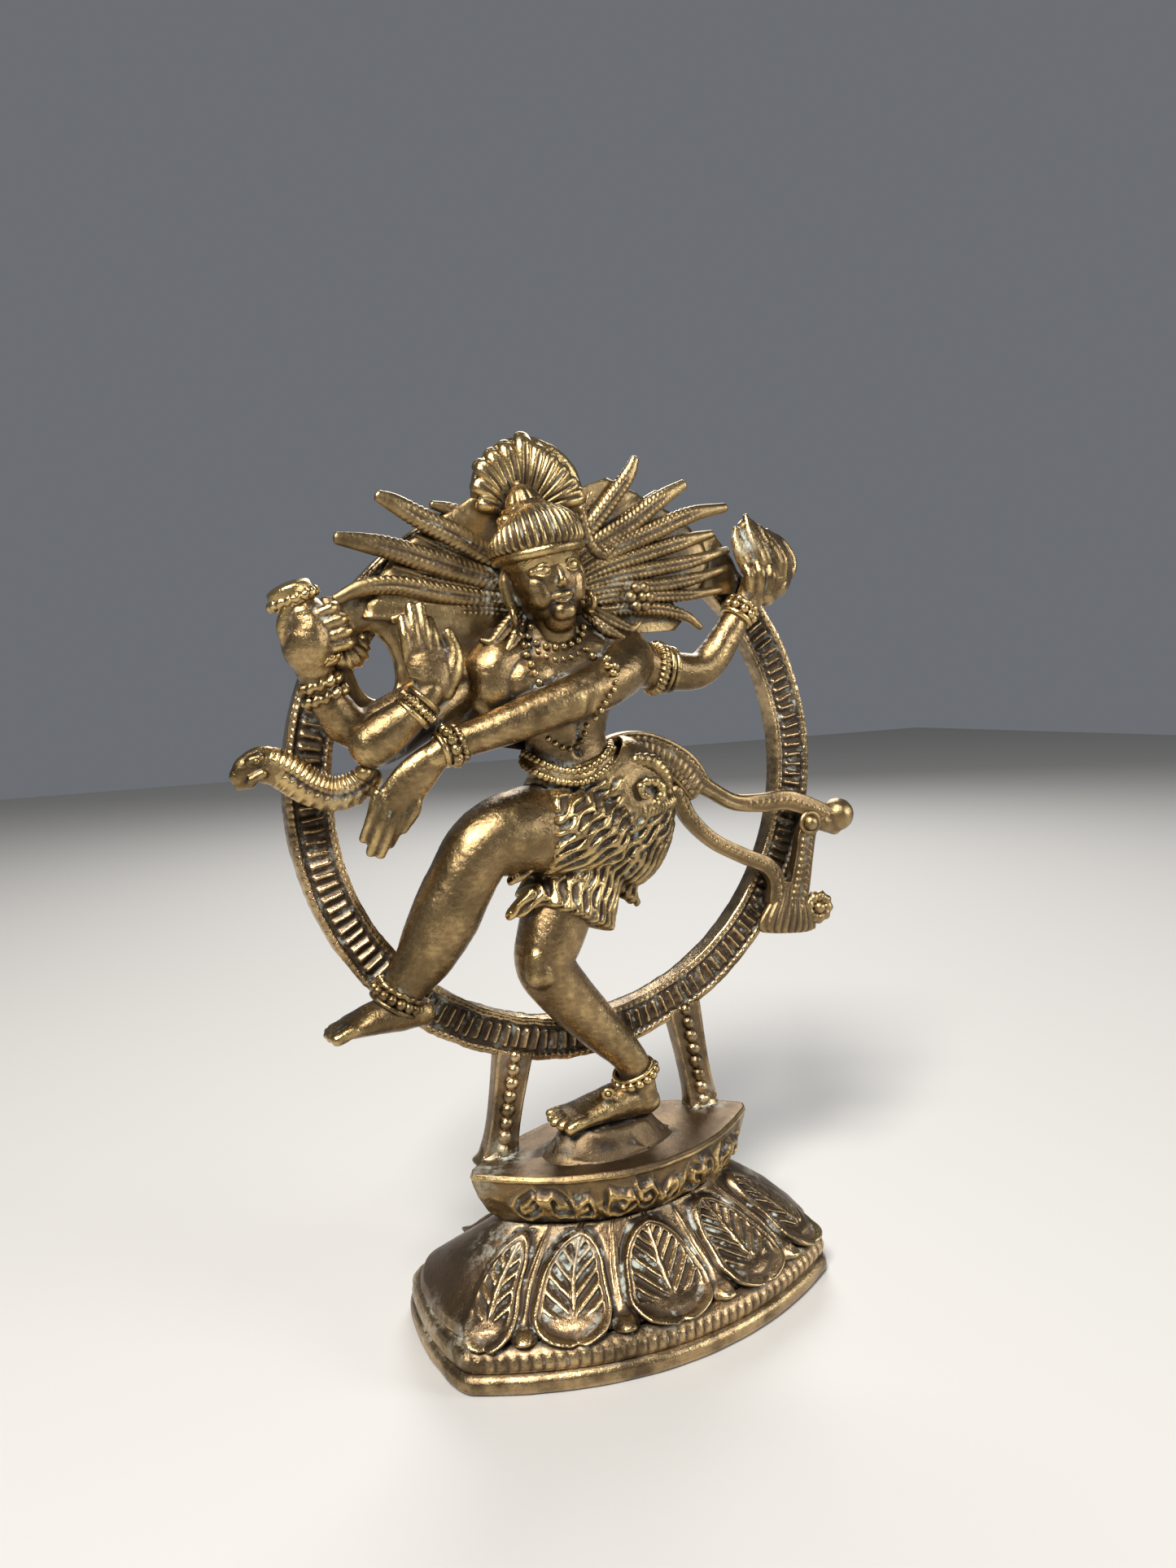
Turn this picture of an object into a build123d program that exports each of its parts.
"""Brass dancing-figure statue: a lotus base, two posts, a ring, and a four-armed figure inside the ring.

The foundry makes it from a built-up pattern, so every limb, garment, ornament and tier is its own solid here.
Each later piece is cut to the pieces that it seats on, so that neighbours meet face to face.

Frame: origin on the resting plane, under the centre of the ring; +X to the viewer's right, +Y to the back,
+Z up. Lengths are millimetres. Figure and ring follow one module, the angula, as in the craft's own rules of
proportion.
"""

import os

from build123d import *

# ---- driving dimensions -------------------------------------------------------------------------------

angula = 1.0  # module of the figure and the ring

base_x = 3.5  # the base stands a little to the right of the ring's centre
base_half_length = 45.7
base_half_depth = 30.0
base_end_half_depth = 16.7  # half the width of the nearly flat ends
base_end_bow = 2.0  # how far an end swells beyond its corners
plate_height = 4.0
moulding_height = 4.0
moulding_inset = 1.0
lotus_height = 14.0
lotus_lip_height = 2.2
lotus_lip_inset = 2.0
neck_half_length = 29.5
neck_half_depth = 12.2
wall = 3.0  # of the hollow base
cavity_roof = 4.5  # metal left above the hollow

deck_half_length = 33.0
deck_half_depth = 15.5
bowl_height = 12.4
tip_half_depth = 1.2  # half the width of the bowl's blunt tips
petal_rise = 1.1  # how far a petal stands out of the lotus tier
petal_count = 5  # on each side

foot_block_height = 5.2
foot_block_length = 28.0
foot_block_depth = 12.0

ring_front = 3.5  # distance of the ring's front face behind the middle of the base
ring_thickness = 5.1
ring_band = 8.6
rim_width = 1.7
channel_depth = 0.7
post_width = 6.2
post_depth = 4.4
post_inset = 8.0  # from the deck's tip to the middle of a post's foot
post_lean = 4.4  # how far a post leans in between its foot and the ring
peg_radius = 1.3
peg_length = 5.0
peg_clearance = 0.05
tenon_radius = 4.0  # of the tenon that holds the bowl to the lotus tier

web_thickness = 3.0  # thin casting skin between hair, arms and ring
figure_span = 140.4  # angulas from the serpent's snout to the sash's curl
bangle_rise = 1.1
anklet_width = 3.4
hair_back = 5.0  # distance of the web's back face behind the middle of the base
crown_front = 0.4
crown_thickness = 3.6
drum_length = 13.6
drum_radius = 4.1
drum_waist = 2.4

# ---- heights and places that follow from them ---------------------------------------------------------

moulding_base = plate_height
lotus_base = moulding_base + moulding_height
bowl_base = lotus_base + lotus_height
deck_top = bowl_base + bowl_height
ring_radius = 60.0 * angula
ring_height = deck_top + 77.8 * angula
half_span = figure_span / 2 * angula
ring_back = ring_front + ring_thickness
ring_centre = Vector(0, 0, ring_height)
foot_block_centre = Vector(-0.5, -3.0, deck_top)

os.makedirs("parts", exist_ok=True)


def at(x, y, z):
    """A point of the figure: angulas right, back, and above the deck."""
    return Vector(x * angula, y * angula, deck_top + z * angula)


def finish(name, part):
    """Labels a finished piece and writes its STEP file."""
    part.label = name
    export_step(part, f"parts/{name}.step")
    return part


def plan(z, half_length, half_depth, end_half_depth, end_bow):
    """Plan outline of a base tier at height z: two shallow arcs joined by slightly pointed ends."""
    corner = half_length - end_bow
    with BuildSketch(Plane((base_x, 0, z))) as outline:
        with BuildLine():
            ThreePointArc((-corner, -end_half_depth), (0, -half_depth), (corner, -end_half_depth))
            Polyline((corner, -end_half_depth), (half_length, 0), (corner, end_half_depth))
            ThreePointArc((corner, end_half_depth), (0, half_depth), (-corner, end_half_depth))
            Polyline((-corner, end_half_depth), (-half_length, 0), (-corner, -end_half_depth))
        make_face()
    return outline.sketch


def base_plan(z, inset):
    """The base's outline at height z, moved in by inset on every side."""
    return plan(
        z,
        base_half_length - inset,
        base_half_depth - inset,
        base_end_half_depth - inset * 0.6,
        base_end_bow,
    )


def neck_plan(z, swell=0.0):
    """The waist between lotus and bowl, let out by swell."""
    return plan(z, neck_half_length + swell, neck_half_depth + swell, tip_half_depth + 1.0, 1.2)


def limb(points, radii):
    """A chain of tapered round lengths with a slightly larger ball at every joint, as one solid."""
    with BuildPart() as chain:
        for point, radius in zip(points, radii):
            with Locations(point):
                Sphere(radius * 1.04 * angula)
        for start, end, r_start, r_end in zip(points, points[1:], radii, radii[1:]):
            with Locations(Plane(origin=start, z_dir=end - start)):
                Cone(
                    r_start * angula,
                    r_end * angula * 0.99,
                    (end - start).length,
                    align=(Align.CENTER, Align.CENTER, Align.MIN),
                )
    return chain.part


def form(stations, across=(0, 1, 0)):
    """A loft through ellipses: each station is (centre, half width along across, half thickness)."""
    sections = []
    for i, (centre, half_width, half_thickness) in enumerate(stations):
        ahead = stations[min(i + 1, len(stations) - 1)][0]
        behind = stations[max(i - 1, 0)][0]
        with BuildSketch(Plane(origin=centre, x_dir=across, z_dir=ahead - behind)) as section:
            Ellipse(half_width * angula, half_thickness * angula)
        sections.append(section.sketch)
    with BuildPart() as body:
        loft(sections)
    return body.part


def level_form(stations):
    """A loft through level ellipses: each station is (centre, half width along X, half depth along Y)."""
    sections = []
    for centre, half_width, half_depth in stations:
        with BuildSketch(Plane(origin=centre)) as section:
            Ellipse(half_width * angula, half_depth * angula)
        sections.append(section.sketch)
    with BuildPart() as body:
        loft(sections)
    return body.part


def largest(part):
    """The biggest solid of a cut piece, without the crumbs that a cut can leave."""
    return part.solids().sort_by(SortBy.VOLUME)[-1]


def seated(raw, *neighbours):
    """The raw piece with its neighbours cut out of it, so that it seats on them."""
    with BuildPart() as piece:
        add(raw)
        for neighbour in neighbours:
            add(neighbour, mode=Mode.SUBTRACT)
    return largest(piece.part)


# ---- the base -----------------------------------------------------------------------------------------

with BuildPart() as cavity:
    loft(
        [
            base_plan(0, wall),
            base_plan(lotus_base + lotus_lip_height, wall + lotus_lip_inset),
            neck_plan(bowl_base - cavity_roof, -wall),
        ],
        ruled=True,
    )

with BuildPart() as base_plate:
    loft([base_plan(0, 0.8), base_plan(0.8, 0)], ruled=True)
    with BuildSketch(Plane.XY.offset(0.8)):
        add(base_plan(0, 0))
    extrude(amount=plate_height - 0.8)
    add(cavity.part, mode=Mode.SUBTRACT)
finish("base_plate", base_plate.part)

with BuildPart() as bead_moulding:
    loft(
        [
            base_plan(moulding_base, moulding_inset),
            base_plan(moulding_base + moulding_height / 2, moulding_inset / 2),
            base_plan(lotus_base, moulding_inset),
        ],
        ruled=True,
    )
    add(cavity.part, mode=Mode.SUBTRACT)
finish("bead_moulding", bead_moulding.part)


def lotus_form(swell):
    """The lotus tier's outer shape, let out by swell: a low lip, then a hollow slope up to the neck."""
    lip_top = lotus_base + lotus_lip_height
    slope_middle = (lip_top + bowl_base) / 2
    middle_length = (base_half_length + neck_half_length) / 2 + 0.8
    middle_depth = (base_half_depth + neck_half_depth) / 2 - 1.4
    middle_end = (base_end_half_depth + tip_half_depth) / 2
    with BuildPart() as body:
        loft(
            [
                base_plan(lotus_base, lotus_lip_inset - swell),
                base_plan(lip_top, lotus_lip_inset - 0.6 - swell),
                plan(slope_middle, middle_length + swell, middle_depth + swell, middle_end, base_end_bow),
                neck_plan(bowl_base, swell),
            ],
            ruled=True,
        )
    return body.part


with BuildPart() as lotus_tier:
    add(lotus_form(0))
    add(cavity.part, mode=Mode.SUBTRACT)
    with Locations((base_x, 0, bowl_base)):
        Cylinder(tenon_radius + peg_clearance, cavity_roof * 3, mode=Mode.SUBTRACT)
finish("lotus_tier", lotus_tier.part)

# petals: tongues cut from a let-out copy of the tier, fanned across the front and the back
petal_pitch = 2 * (base_half_length - base_end_bow) / (petal_count + 0.6)
petal_half_width = petal_pitch * 0.36
petal_low = lotus_base + 0.3
petal_high = bowl_base - 2.6

with BuildPart() as lotus_petals:
    for side in (-1, 1):
        for i in range(petal_count):
            place = i - (petal_count - 1) / 2
            foot_x = place * petal_pitch
            head_x = foot_x * neck_half_length / base_half_length * 0.92
            with BuildSketch(Plane.XZ.offset(-side * 1.0)):
                with Locations((base_x, 0)):
                    with BuildLine():
                        ThreePointArc(
                            (foot_x - petal_half_width, petal_low + 3.4),
                            (foot_x, petal_low),
                            (foot_x + petal_half_width, petal_low + 3.4),
                        )
                        Polyline(
                            (foot_x + petal_half_width, petal_low + 3.4),
                            (head_x + petal_half_width * 0.55, petal_high - 2),
                            (head_x, petal_high),
                            (head_x - petal_half_width * 0.55, petal_high - 2),
                            (foot_x - petal_half_width, petal_low + 3.4),
                        )
                    make_face()
            extrude(amount=-side * base_half_depth * 1.2)
    add(lotus_form(petal_rise), mode=Mode.INTERSECT)
    add(lotus_form(0), mode=Mode.SUBTRACT)
finish("lotus_petals", lotus_petals.part)

# the bowl that the figure stands on, with a tenon through the lotus tier and holes for the pegs above
deck_x = base_x
post_foot_x = deck_half_length - post_inset


def post_axis(side):
    """Foot and head of a post's centre line; side is -1 for the left post and 1 for the right."""
    foot = Vector(deck_x + side * post_foot_x, ring_front + ring_thickness / 2, deck_top)
    head_x = deck_x + side * (post_foot_x - post_lean)
    head_z = ring_height - (ring_radius**2 - head_x**2) ** 0.5
    return foot, Vector(head_x, foot.Y, head_z + ring_band / 2)


def post_peg(side, clearance):
    """The round peg under a post, let out by a clearance."""
    foot = post_axis(side)[0]
    with BuildPart() as peg:
        with Locations(foot + Vector(0, 0, 1)):
            Cylinder(
                peg_radius + clearance,
                peg_length + clearance + 1,
                align=(Align.CENTER, Align.CENTER, Align.MAX),
            )
    return peg.part


def block_peg(clearance):
    """The round peg under the foot block, let out by a clearance."""
    with BuildPart() as peg:
        with Locations(foot_block_centre + Vector(0, 0, 1)):
            Cylinder(
                peg_radius * 1.5 + clearance,
                peg_length + clearance + 1,
                align=(Align.CENTER, Align.CENTER, Align.MAX),
            )
    return peg.part


def bowl_plan(z, inset):
    """The bowl's plan at height z: a long lens with blunt tips, moved in by inset."""
    return plan(z, deck_half_length - inset * 1.6, deck_half_depth - inset, tip_half_depth, 0.6)


with BuildPart() as pedestal_bowl:
    loft(
        [
            neck_plan(bowl_base),
            bowl_plan(bowl_base + bowl_height * 0.34, 1.6),
            bowl_plan(bowl_base + bowl_height * 0.72, 0.5),
            bowl_plan(deck_top - 1.6, 0.6),
        ],
        ruled=True,
    )
    loft([bowl_plan(deck_top - 1.6, 0), bowl_plan(deck_top, 0)], ruled=True)
    with Locations((base_x, 0, bowl_base + 1)):
        Cylinder(tenon_radius, cavity_roof + 1, align=(Align.CENTER, Align.CENTER, Align.MAX))
    add(post_peg(-1, peg_clearance), mode=Mode.SUBTRACT)
    add(post_peg(1, peg_clearance), mode=Mode.SUBTRACT)
    add(block_peg(peg_clearance), mode=Mode.SUBTRACT)
finish("pedestal_bowl", pedestal_bowl.part)

with BuildPart() as foot_block:
    with BuildSketch(Plane(foot_block_centre)) as block_foot:
        Ellipse(foot_block_length / 2, foot_block_depth / 2)
    with BuildSketch(Plane(foot_block_centre + Vector(0, 0, foot_block_height))) as block_head:
        Ellipse(foot_block_length / 2 - 2, foot_block_depth / 2 - 1.4)
    loft([block_foot.sketch, block_head.sketch])
    add(block_peg(0))
finish("foot_block", foot_block.part)

# ---- ring and posts -----------------------------------------------------------------------------------

with BuildPart() as ring:
    with BuildSketch(Plane(origin=ring_centre, x_dir=(1, 0, 0), z_dir=(0, 0, 1))):
        inner = ring_radius - ring_band
        with BuildLine():
            Polyline(
                (inner, ring_front),
                (inner + rim_width, ring_front),
                (inner + rim_width, ring_front + channel_depth),
                (ring_radius - rim_width, ring_front + channel_depth),
                (ring_radius - rim_width, ring_front),
                (ring_radius, ring_front),
                (ring_radius, ring_back),
                (inner, ring_back),
                close=True,
            )
        make_face()
    revolve(axis=Axis(ring_centre, (0, 1, 0)))
finish("ring", ring.part)


def post(side):
    """A square bar leaning in from the deck to the ring, with its peg, cut to the ring's rim."""
    foot, head = post_axis(side)
    with BuildPart() as bar:
        with BuildSketch(Plane(foot)) as low:
            Rectangle(post_width, post_depth)
        with BuildSketch(Plane(Vector(head.X, foot.Y, head.Z))) as high:
            Rectangle(post_width, post_depth)
        loft([low.sketch, high.sketch])
        add(post_peg(side, 0))
        with Locations(Plane(origin=ring_centre, z_dir=(0, 1, 0))):
            Cylinder(ring_radius, ring_back * 4, mode=Mode.SUBTRACT)
    return finish("post_left" if side < 0 else "post_right", largest(bar.part))


posts = [post(-1), post(1)]

# ---- the figure: legs and body ------------------------------------------------------------------------

standing_knee = at(-12.5, -4.4, 42.2)
standing_ankle = at(6.2, -3.6, 17.6)
raised_knee = at(-26.2, -6.6, 67.2)
raised_ankle = at(-43.0, -3.4, 40.6)

with BuildPart() as standing_foot_raw:
    add(
        form(
            [
                (at(12.0, -3.2, 7.4), 2.7, 2.5),
                (at(7.5, -3.3, 9.6), 3.7, 4.9),
                (at(0.5, -3.6, 8.4), 4.1, 3.6),
                (at(-6.0, -4.0, 7.1), 4.6, 2.4),
                (at(-12.0, -4.2, 6.2), 3.6, 1.5),
            ]
        )
    )
    add(limb([standing_ankle, at(8.4, -3.3, 10.0)], [3.5, 3.9]))
standing_foot = finish("standing_foot", seated(standing_foot_raw.part, foot_block.part))

standing_shin_path = [at(-4.0, -2.0, 60.0), standing_knee, at(-5.0, -3.4, 30.8), standing_ankle]
standing_leg = finish(
    "standing_leg",
    seated(limb(standing_shin_path, [7.2, 6.0, 5.1, 3.5]), standing_foot, ring.part),
)

skirt_raw = level_form(
    [
        (at(1.5, -1.4, 61.0), 12.4, 7.8),
        (at(3.6, -1.4, 65.0), 15.0, 9.2),
        (at(4.4, -1.2, 71.5), 15.4, 9.4),
        (at(0.6, -1.2, 77.5), 12.6, 8.2),
        (at(-3.2, -1.4, 80.5), 11.0, 7.2),
    ]
)
skirt = finish("skirt", seated(skirt_raw, standing_leg))

raised_foot_raw = form(
    [
        (at(-37.8, -3.4, 35.6), 2.6, 2.4),
        (at(-42.6, -3.7, 37.4), 4.2, 4.2),
        (at(-49.0, -4.0, 36.8), 4.4, 3.2),
        (at(-56.9, -4.2, 35.4), 3.8, 1.8),
    ]
)
raised_foot = finish("raised_foot", seated(raised_foot_raw, ring.part))

raised_thigh = [at(-5.0, -2.6, 67.0), at(-14.0, -4.0, 69.0), raised_knee]
raised_leg_path = [*raised_thigh, at(-36.6, -4.8, 49.0), raised_ankle]
raised_leg = finish(
    "raised_leg",
    seated(limb(raised_leg_path, [8.6, 9.2, 6.7, 6.4, 4.1]), raised_foot, skirt, standing_leg, ring.part),
)

skirt_hem_raw = level_form(
    [
        (at(-1.5, -1.8, 64.0), 9.6, 7.4),
        (at(-5.0, -2.4, 57.0), 9.2, 7.4),
        (at(-7.6, -3.2, 51.2), 10.2, 8.0),
    ]
)
skirt_hem = finish("skirt_hem", seated(skirt_hem_raw, standing_leg, skirt, raised_leg))

torso_raw = level_form(
    [
        (at(-3.4, -1.4, 79.0), 9.8, 6.4),
        (at(-4.8, -1.8, 85.0), 9.6, 6.0),
        (at(-4.8, -2.2, 91.0), 10.6, 6.6),
        (at(-5.2, -2.2, 98.0), 14.0, 7.4),
        (at(-6.0, -1.4, 103.5), 16.5, 6.4),
        (at(-6.6, -1.2, 107.5), 10.0, 5.0),
        (at(-7.2, -2.2, 111.0), 4.8, 4.8),
        (at(-7.4, -3.2, 115.0), 4.4, 4.4),
    ]
)
torso = finish("torso", seated(torso_raw, skirt, raised_leg))

belt_raw = level_form(
    [
        (at(-2.8, -1.6, 77.5), 13.0, 8.6),
        (at(-3.8, -1.7, 83.0), 11.2, 7.8),
    ]
)
belt = finish("belt", seated(belt_raw, skirt, torso, raised_leg))


def ankle_band(name, ankle, along, radius, *neighbours):
    """A beaded band around an ankle, square to the limb, cut to the limb and foot inside it."""
    with BuildPart() as band:
        with Locations(Plane(origin=ankle, z_dir=along)):
            Cylinder(radius * angula, anklet_width * angula)
    return finish(name, seated(band.part, *neighbours))


standing_anklet = ankle_band(
    "standing_anklet",
    at(7.2, -3.6, 14.4),
    (0.28, 0.0, -1.0),
    5.4,
    standing_leg,
    standing_foot,
)
raised_anklet = ankle_band(
    "raised_anklet",
    at(-43.6, -3.2, 39.6),
    raised_ankle - raised_knee,
    6.8,
    raised_leg,
    raised_foot,
    ring.part,
)

# ---- head and headdress -------------------------------------------------------------------------------

head_centre = at(-7.2, -4.2, 119.0)

head_raw = level_form(
    [
        (head_centre + Vector(0, -2.6, -9.6) * angula, 2.8, 2.4),
        (head_centre + Vector(0, -1.2, -6.0) * angula, 6.4, 6.2),
        (head_centre, 7.9, 8.0),
        (head_centre + Vector(0, 0.2, 5.0) * angula, 8.2, 8.4),
        (head_centre + Vector(0, 0.6, 10.0) * angula, 7.0, 7.4),
    ]
)
head = finish("head", seated(head_raw, torso, ring.part))

diadem_raw = level_form(
    [
        (head_centre + Vector(0, -0.2, 4.2) * angula, 9.4, 9.2),
        (head_centre + Vector(0, 0.2, 10.6) * angula, 8.9, 8.6),
        (head_centre + Vector(0, 0.6, 13.4) * angula, 6.6, 6.4),
    ]
)
diadem = finish("diadem", seated(diadem_raw, head, ring.part))

topknot_raw = level_form(
    [
        (head_centre + Vector(0, 0.6, 12.6) * angula, 6.0, 5.6),
        (head_centre + Vector(0, 0.8, 16.2) * angula, 6.4, 5.8),
        (head_centre + Vector(0, 1.4, 20.0) * angula, 3.2, 3.0),
    ]
)
topknot = finish("topknot", seated(topknot_raw, diadem))

with BuildPart() as crown_fan_raw:
    with BuildSketch(Plane.XZ.offset(-crown_front)):
        with Locations((-7.4 * angula, deck_top + 135.2 * angula)):
            Ellipse(12.8 * angula, 13.4 * angula)
    extrude(amount=-crown_thickness)
crown_fan = finish("crown_fan", seated(crown_fan_raw.part, diadem, topknot, head, ring.part))

earring_raw = Torus(2.0 * angula, 0.75 * angula).moved(Location(at(-15.0, -4.0, 112.4), (90, 0, 25)))
earring = finish("earring", seated(earring_raw, head, torso))


def lock(root, tip, radius):
    """One rope of hair, tapering from its root beside the head to its tip."""
    with BuildPart() as rope:
        with Locations(Plane(origin=root, z_dir=tip - root)):
            Cone(
                radius * angula,
                radius * 0.6 * angula,
                (tip - root).length,
                align=(Align.CENTER, Align.CENTER, Align.MIN),
            )
    return rope.part


def hair(name, outline, locks, *neighbours):
    """A side of the flying hair: a thin web with ropes of hair standing on its front."""
    with BuildPart() as spread:
        with BuildSketch(Plane.XZ.offset(-hair_back + web_thickness)):
            with BuildLine():
                Polyline(*[(x * angula, deck_top + z * angula) for x, z in outline], close=True)
            make_face()
        extrude(amount=-web_thickness)
        for root, tip, radius in locks:
            add(lock(root, tip, radius))
    return finish(name, seated(spread.part, *neighbours))


hair_left = hair(
    "hair_left",
    [(-12, 112), (-12, 131), (-24, 131), (-30, 127.5), (-33, 122), (-31, 115)],
    [
        (at(-15.0, 1.8, 129.0), at(-38.2, 2.0, 133.6), 2.6),
        (at(-15.0, 1.4, 123.0), at(-47.0, 2.0, 126.4), 2.7),
        (at(-15.0, 1.4, 116.5), at(-46.0, 2.0, 116.0), 2.7),
    ],
    head,
    diadem,
    crown_fan,
    torso,
    ring.part,
)
hair_right = hair(
    "hair_right",
    [(-2, 110), (-2, 137), (8, 140), (17, 140), (28, 135.5), (36, 128), (37, 119), (29, 112), (16, 107.5)],
    [
        (at(1.0, 1.8, 130.0), at(16.8, 2.2, 144.0), 2.5),
        (at(1.0, 1.6, 127.0), at(28.4, 2.2, 138.8), 2.5),
        (at(1.0, 1.4, 124.0), at(38.0, 2.2, 134.6), 2.5),
        (at(1.0, 1.4, 120.6), at(39.2, 2.2, 126.4), 2.4),
        (at(1.0, 1.4, 117.4), at(39.0, 2.2, 120.6), 2.4),
        (at(1.0, 1.4, 114.0), at(36.0, 2.2, 113.4), 2.3),
        (at(1.0, 1.4, 111.0), at(29.0, 2.0, 108.6), 2.2),
    ],
    head,
    diadem,
    crown_fan,
    torso,
    ring.part,
)

web_outline = [(-16, 92), (-16, 117), (-30, 117), (-48, 115), (-51, 104), (-49, 90), (-32, 90)]
with BuildPart() as web_left_raw:
    with BuildSketch(Plane.XZ.offset(-hair_back + web_thickness)):
        with BuildLine():
            Polyline(*[(x * angula, deck_top + z * angula) for x, z in web_outline], close=True)
        make_face()
        with Locations(Location((-42.0 * angula, deck_top + 102.6 * angula), 14)):
            Ellipse(3.9 * angula, 6.6 * angula, mode=Mode.SUBTRACT)
    extrude(amount=-web_thickness)
web_left = finish("web_left", seated(web_left_raw.part, ring.part, hair_left, torso))

# ---- arms, in the order in which they overlap ---------------------------------------------------------


def arm(name, path, radii, hand, *neighbours):
    """An arm from shoulder to wrist with its hand, seated on what is behind and beside it."""
    with BuildPart() as raw:
        add(limb(path, radii))
        add(hand)
    return finish(name, seated(raw.part, *neighbours))


# hand with the drum: a closed fist around the drum's waist
drum_fist = at(-54.4, -0.8, 107.0)
drum_axis = Vector(-0.41, 0, 0.91).normalized()


def drum_raw():
    """An hourglass drum on a slant, with a raised rim and a domed skin at its upper end."""
    half = drum_length / 2
    with BuildPart() as body:
        with Locations(Plane(origin=drum_fist + drum_axis * 1.6, z_dir=drum_axis)):
            Cone(drum_waist, drum_radius, half, align=(Align.CENTER, Align.CENTER, Align.MIN))
            with Locations((0, 0, half)):
                Cylinder(drum_radius * 1.08, 1.4)
                Sphere(drum_radius * 0.8)
        with Locations(Plane(origin=drum_fist + drum_axis * 1.6, z_dir=-drum_axis)):
            Cone(drum_waist, drum_radius, half, align=(Align.CENTER, Align.CENTER, Align.MIN))
    return body.part


drum = finish("drum", seated(drum_raw(), web_left, ring.part, hair_left))

arm_drum_path = [at(-19.0, 0.0, 103.4), at(-46.4, -0.4, 90.4), at(-53.2, -0.6, 99.8)]
arm_drum = arm(
    "arm_drum",
    arm_drum_path,
    [5.0, 4.4, 3.0],
    limb([arm_drum_path[-1], drum_fist], [3.0, 4.4]),
    drum,
    torso,
    web_left,
    ring.part,
    hair_left,
)

# raised open hand in front of it
arm_palm_path = [at(-19.0, -3.6, 102.0), at(-45.4, -6.4, 88.6), at(-36.0, -8.2, 95.4)]
arm_palm = arm(
    "arm_palm",
    arm_palm_path,
    [5.2, 4.5, 3.1],
    form(
        [
            (at(-35.8, -8.2, 94.6), 2.4, 3.0),
            (at(-31.8, -8.4, 99.8), 2.4, 4.8),
            (at(-33.0, -8.0, 105.0), 2.0, 4.8),
            (at(-34.8, -7.2, 112.8), 1.3, 3.0),
        ],
    ),
    torso,
    arm_drum,
    web_left,
)

# arm across the chest with the hanging hand
arm_cross_path = [at(9.0, -3.4, 103.4), at(-2.6, -9.0, 97.4), at(-32.8, -10.0, 87.2)]
arm_cross = arm(
    "arm_cross",
    arm_cross_path,
    [5.4, 4.9, 3.0],
    form(
        [
            (at(-31.6, -10.0, 87.8), 2.6, 2.8),
            (at(-37.4, -9.4, 83.4), 2.4, 3.8),
            (at(-42.2, -8.2, 76.4), 2.0, 4.0),
            (at(-47.2, -6.8, 68.8), 1.2, 2.6),
        ],
    ),
    torso,
    arm_palm,
    arm_drum,
)

# arm out to the right, with the flame
flame_palm = at(43.4, -0.4, 115.6)
arm_flame_path = [at(9.4, 0.2, 102.8), at(28.4, 0.0, 99.8), at(40.6, -0.4, 112.0)]
arm_flame = arm(
    "arm_flame",
    arm_flame_path,
    [5.2, 4.2, 3.1],
    limb([arm_flame_path[-1], flame_palm], [3.1, 4.0]),
    torso,
    arm_cross,
    hair_right,
    ring.part,
)

with BuildPart() as flame_raw:
    add(
        level_form(
            [
                (at(46.4, -0.6, 114.4), 3.6, 3.0),
                (at(47.2, -0.6, 119.0), 7.0, 4.6),
                (at(45.4, -0.6, 125.0), 5.4, 3.8),
                (at(41.0, -0.4, 132.4), 1.4, 1.2),
            ]
        )
    )
flame = finish("flame", seated(flame_raw.part, arm_flame, ring.part, hair_right))


def bangle(name, path, share, radius, width, *neighbours):
    """A band around the last length of a limb's path, at a share of that length from its start."""
    along = path[-1] - path[-2]
    with BuildPart() as band:
        with Locations(Plane(origin=path[-2] + along * share, z_dir=along)):
            Cylinder((radius + bangle_rise) * angula, width * angula)
    return finish(name, seated(band.part, *neighbours))


bangle_palm = bangle("bangle_palm", arm_palm_path, 0.8, 3.6, 3.6, arm_palm, arm_cross, arm_drum, web_left)
bangle_cross = bangle(
    "bangle_cross", arm_cross_path, 0.94, 3.4, 4.2, arm_cross, arm_palm, arm_drum, bangle_palm
)
bangle_drum = bangle("bangle_drum", arm_drum_path, 0.82, 3.6, 3.8, arm_drum, drum, web_left, ring.part)
bangle_flame = bangle("bangle_flame", arm_flame_path, 0.82, 3.6, 3.8, arm_flame, ring.part, hair_right)
armlet = bangle("armlet", arm_flame_path[:2], 0.62, 4.8, 4.0, arm_flame, hair_right, torso)

necklace_path = [
    at(-12.8, -3.6, 108.2),
    at(-11.8, -7.2, 104.6),
    at(-7.4, -9.4, 101.4),
    at(-3.4, -8.4, 103.4),
    at(-1.4, -4.2, 108.2),
]
necklace_raw = limb(necklace_path, [1.3] * len(necklace_path))
necklace = finish("necklace", seated(necklace_raw, torso, head, arm_cross, arm_palm))

# ---- serpent and sash ---------------------------------------------------------------------------------

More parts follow.
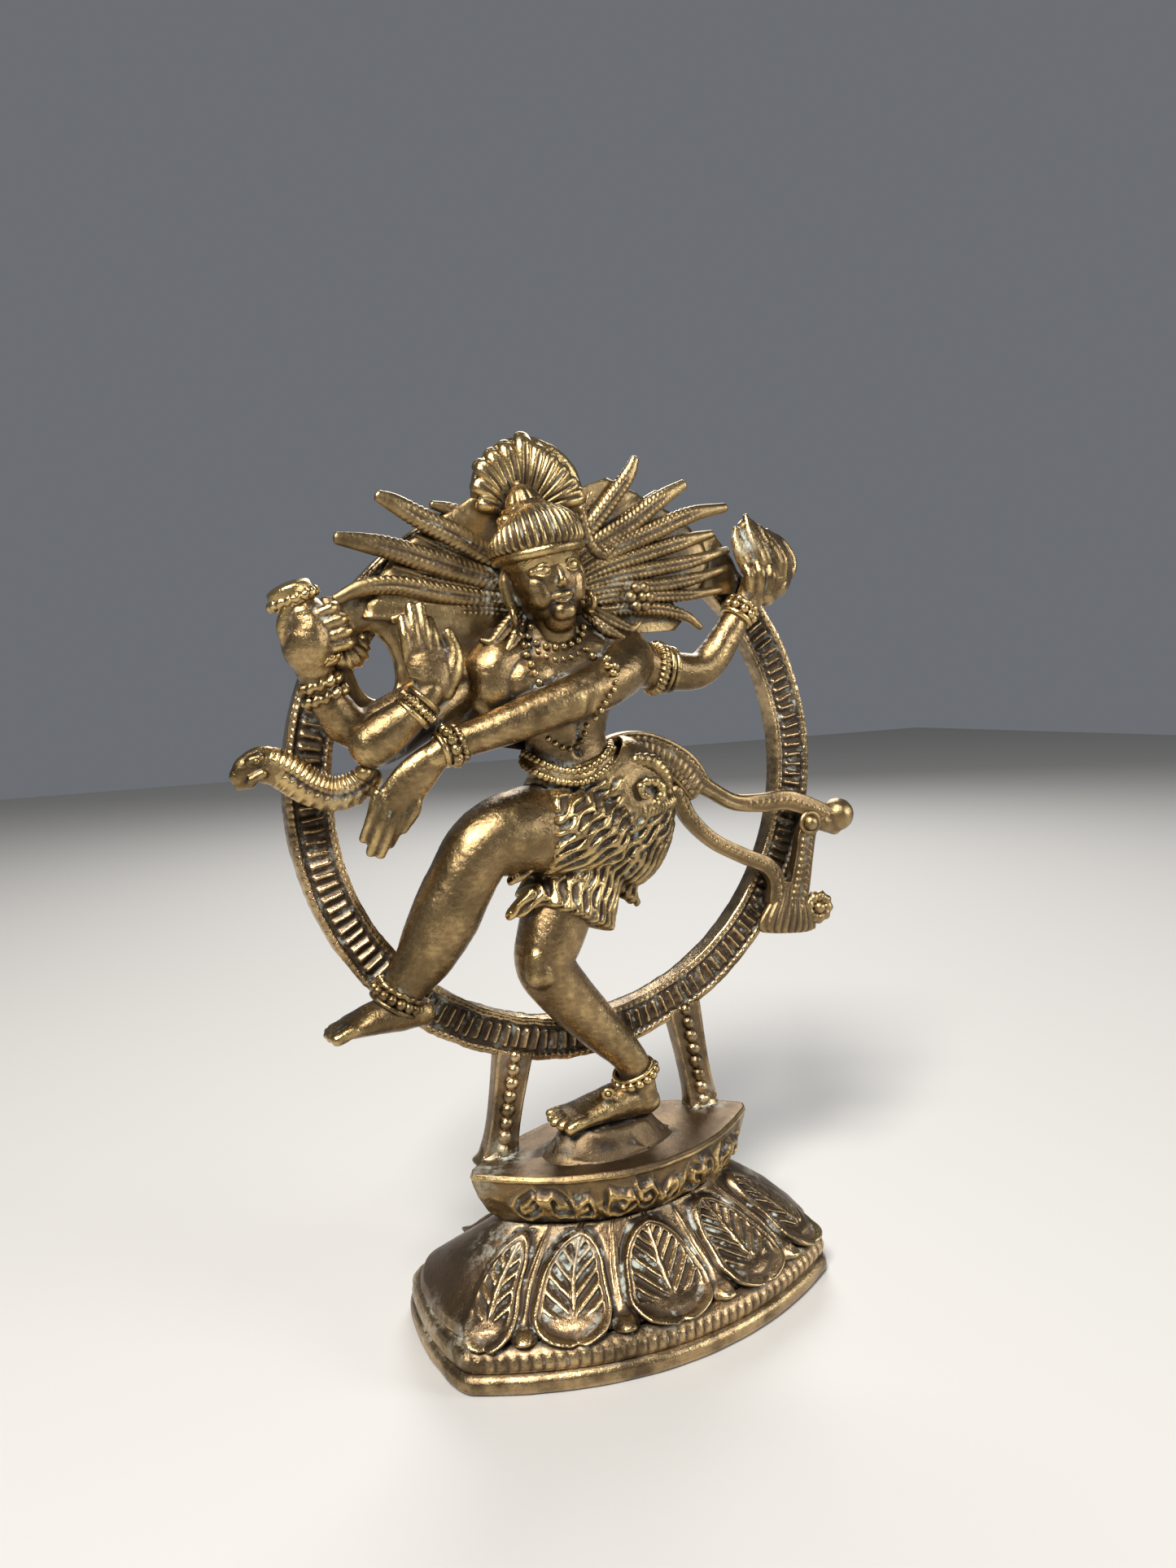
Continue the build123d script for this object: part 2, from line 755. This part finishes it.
snout_radius = 3.6 * angula
snout = Vector(-(half_span - snout_radius * 1.04), 0, 0) + Vector(0, -1.2, deck_top + 85.4 * angula)
serpent_raw = limb(
    [at(-44.6, 0.8, 83.4), at(-50.0, 1.2, 79.6), at(-56.4, 1.4, 79.4), at(-61.6, 0.2, 84.2), snout],
    [2.4, 2.7, 2.8, 3.0, 3.6],
)
serpent = finish("serpent", seated(serpent_raw, ring.part, arm_palm, arm_cross, arm_drum, web_left))

sash_band_raw = form(
    [
        (at(3.0, 1.6, 80.0), 3.2, 3.4),
        (at(10.0, 2.2, 83.2), 2.4, 3.3),
        (at(17.4, 2.6, 82.6), 2.0, 3.3),
        (at(25.0, 2.6, 76.6), 2.0, 3.4),
        (at(29.6, 2.6, 69.4), 2.0, 3.4),
    ]
)
sash_band = finish("sash_band", seated(sash_band_raw, skirt, torso, belt))

curl_radius = 4.3 * angula
curl = Vector(half_span - curl_radius * 1.04, 1.6, deck_top + 63.8 * angula)
upper_ribbon = [at(29.0, 2.4, 69.8), at(36.0, 2.2, 69.4), at(44.0, 1.9, 70.4), at(52.0, 1.8, 69.4)]
sash_upper_raw = limb([*upper_ribbon, at(59.4, 1.8, 66.6), curl], [2.4, 2.3, 2.3, 2.3, 2.4, 4.3])
sash_upper = finish("sash_upper", seated(sash_upper_raw, sash_band, ring.part))

lower_ribbon = [at(24.6, 2.4, 71.0), at(29.0, 2.2, 63.6), at(36.0, 1.8, 58.4), at(43.0, 1.7, 54.4)]
with BuildPart() as sash_lower_raw:
    add(limb([*lower_ribbon, at(49.6, 1.6, 48.6)], [2.3, 2.3, 2.3, 2.3, 2.6]))
    add(
        form(
            [
                (at(56.6, 1.4, 66.0), 2.0, 2.6),
                (at(53.4, 1.4, 55.0), 2.0, 2.8),
                (at(50.4, 1.2, 46.4), 2.2, 4.0),
                (at(49.4, 0.8, 38.8), 2.4, 6.6),
            ]
        )
    )
    add(limb([at(52.0, 1.2, 42.0), at(58.4, 1.6, 41.6)], [2.2, 3.0]))
sash_lower = finish("sash_lower", seated(sash_lower_raw.part, sash_band, sash_upper, ring.part))
